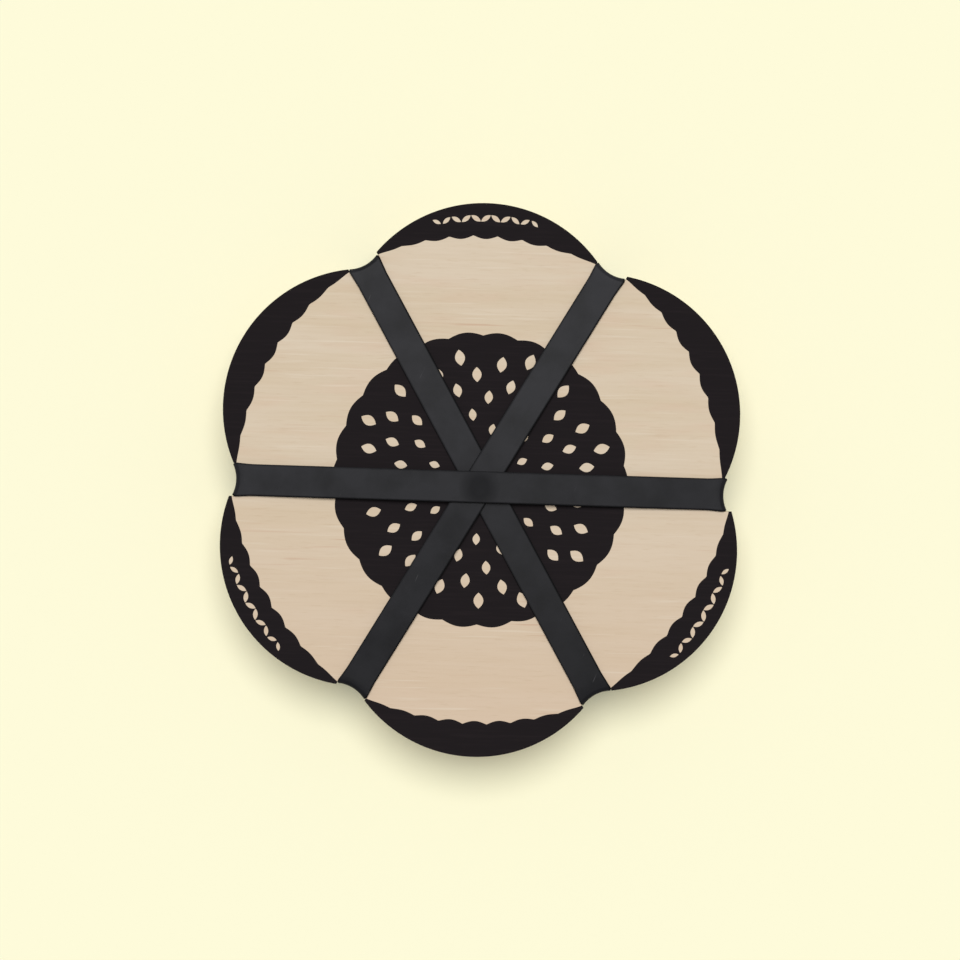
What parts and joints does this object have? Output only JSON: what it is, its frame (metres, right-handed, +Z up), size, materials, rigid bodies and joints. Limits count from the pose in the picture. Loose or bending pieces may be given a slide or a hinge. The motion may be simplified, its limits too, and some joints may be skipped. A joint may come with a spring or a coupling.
{
  "type": "flower press",
  "caption": "Petal-shaped plywood press with corrugated cards and blotting papers between two boards, held shut by crossing rubber bands, for drying flowers flat.",
  "frame": {"origin": "on the surface that the press stands on, under the middle of the boards", "axes": "+Z up through the stack, +Y towards the tip of a petal, +X along the band that lies over the others"},
  "size_m": [0.1632, 0.174, 0.0352],
  "materials": {
    "plywood": "matte",
    "corrugated_card": "matte",
    "blotting_paper": "matte",
    "black_rubber": "satin"
  },
  "bodies": {
    "base": {"bottom_board": "plywood", "rubber_band_1": "black_rubber", "rubber_band_2": "black_rubber", "rubber_band_3": "black_rubber"},
    "card_6": {"card_6": "corrugated_card"},
    "blotter_10": {"blotter_10": "blotting_paper"},
    "blotter_9": {"blotter_9": "blotting_paper"},
    "card_5": {"card_5": "corrugated_card"},
    "blotter_8": {"blotter_8": "blotting_paper"},
    "blotter_7": {"blotter_7": "blotting_paper"},
    "card_4": {"card_4": "corrugated_card"},
    "blotter_6": {"blotter_6": "blotting_paper"},
    "blotter_5": {"blotter_5": "blotting_paper"},
    "card_3": {"card_3": "corrugated_card"},
    "blotter_4": {"blotter_4": "blotting_paper"},
    "blotter_3": {"blotter_3": "blotting_paper"},
    "card_2": {"card_2": "corrugated_card"},
    "blotter_2": {"blotter_2": "blotting_paper"},
    "blotter_1": {"blotter_1": "blotting_paper"},
    "card_1": {"card_1": "corrugated_card"},
    "top_board": {"top_board": "plywood"}
  },
  "joints": [
    {"name": "top_board_lift", "type": "slide", "parent": "base", "child": "top_board", "axis": [0, 0, 1], "range_m": [0, 0.051], "stiffness_N_per_m": 800, "springref_m": -0.05, "deforming": ["rubber_band_1", "rubber_band_2", "rubber_band_3"]},
    {"name": "card_6_lift", "type": "slide", "parent": "base", "child": "card_6", "axis": [0, 0, 1], "range_m": [0, 0.003]},
    {"name": "blotter_10_lift", "type": "slide", "parent": "base", "child": "blotter_10", "axis": [0, 0, 1], "range_m": [0, 0.006]},
    {"name": "blotter_9_lift", "type": "slide", "parent": "base", "child": "blotter_9", "axis": [0, 0, 1], "range_m": [0, 0.009]},
    {"name": "card_5_lift", "type": "slide", "parent": "base", "child": "card_5", "axis": [0, 0, 1], "range_m": [0, 0.012]},
    {"name": "blotter_8_lift", "type": "slide", "parent": "base", "child": "blotter_8", "axis": [0, 0, 1], "range_m": [0, 0.015]},
    {"name": "blotter_7_lift", "type": "slide", "parent": "base", "child": "blotter_7", "axis": [0, 0, 1], "range_m": [0, 0.018]},
    {"name": "card_4_lift", "type": "slide", "parent": "base", "child": "card_4", "axis": [0, 0, 1], "range_m": [0, 0.021]},
    {"name": "blotter_6_lift", "type": "slide", "parent": "base", "child": "blotter_6", "axis": [0, 0, 1], "range_m": [0, 0.024]},
    {"name": "blotter_5_lift", "type": "slide", "parent": "base", "child": "blotter_5", "axis": [0, 0, 1], "range_m": [0, 0.027]},
    {"name": "card_3_lift", "type": "slide", "parent": "base", "child": "card_3", "axis": [0, 0, 1], "range_m": [0, 0.03]},
    {"name": "blotter_4_lift", "type": "slide", "parent": "base", "child": "blotter_4", "axis": [0, 0, 1], "range_m": [0, 0.033]},
    {"name": "blotter_3_lift", "type": "slide", "parent": "base", "child": "blotter_3", "axis": [0, 0, 1], "range_m": [0, 0.036]},
    {"name": "card_2_lift", "type": "slide", "parent": "base", "child": "card_2", "axis": [0, 0, 1], "range_m": [0, 0.039]},
    {"name": "blotter_2_lift", "type": "slide", "parent": "base", "child": "blotter_2", "axis": [0, 0, 1], "range_m": [0, 0.042]},
    {"name": "blotter_1_lift", "type": "slide", "parent": "base", "child": "blotter_1", "axis": [0, 0, 1], "range_m": [0, 0.045]},
    {"name": "card_1_lift", "type": "slide", "parent": "base", "child": "card_1", "axis": [0, 0, 1], "range_m": [0, 0.048]}
  ],
  "couplings": [
    {"joint": "card_6_lift", "follows": "top_board_lift", "ratio": 0.058823},
    {"joint": "blotter_10_lift", "follows": "top_board_lift", "ratio": 0.11765},
    {"joint": "blotter_9_lift", "follows": "top_board_lift", "ratio": 0.17647},
    {"joint": "card_5_lift", "follows": "top_board_lift", "ratio": 0.23529},
    {"joint": "blotter_8_lift", "follows": "top_board_lift", "ratio": 0.29412},
    {"joint": "blotter_7_lift", "follows": "top_board_lift", "ratio": 0.35294},
    {"joint": "card_4_lift", "follows": "top_board_lift", "ratio": 0.41176},
    {"joint": "blotter_6_lift", "follows": "top_board_lift", "ratio": 0.47059},
    {"joint": "blotter_5_lift", "follows": "top_board_lift", "ratio": 0.52941},
    {"joint": "card_3_lift", "follows": "top_board_lift", "ratio": 0.58823},
    {"joint": "blotter_4_lift", "follows": "top_board_lift", "ratio": 0.64706},
    {"joint": "blotter_3_lift", "follows": "top_board_lift", "ratio": 0.70588},
    {"joint": "card_2_lift", "follows": "top_board_lift", "ratio": 0.7647},
    {"joint": "blotter_2_lift", "follows": "top_board_lift", "ratio": 0.82353},
    {"joint": "blotter_1_lift", "follows": "top_board_lift", "ratio": 0.88235},
    {"joint": "card_1_lift", "follows": "top_board_lift", "ratio": 0.94118}
  ]
}
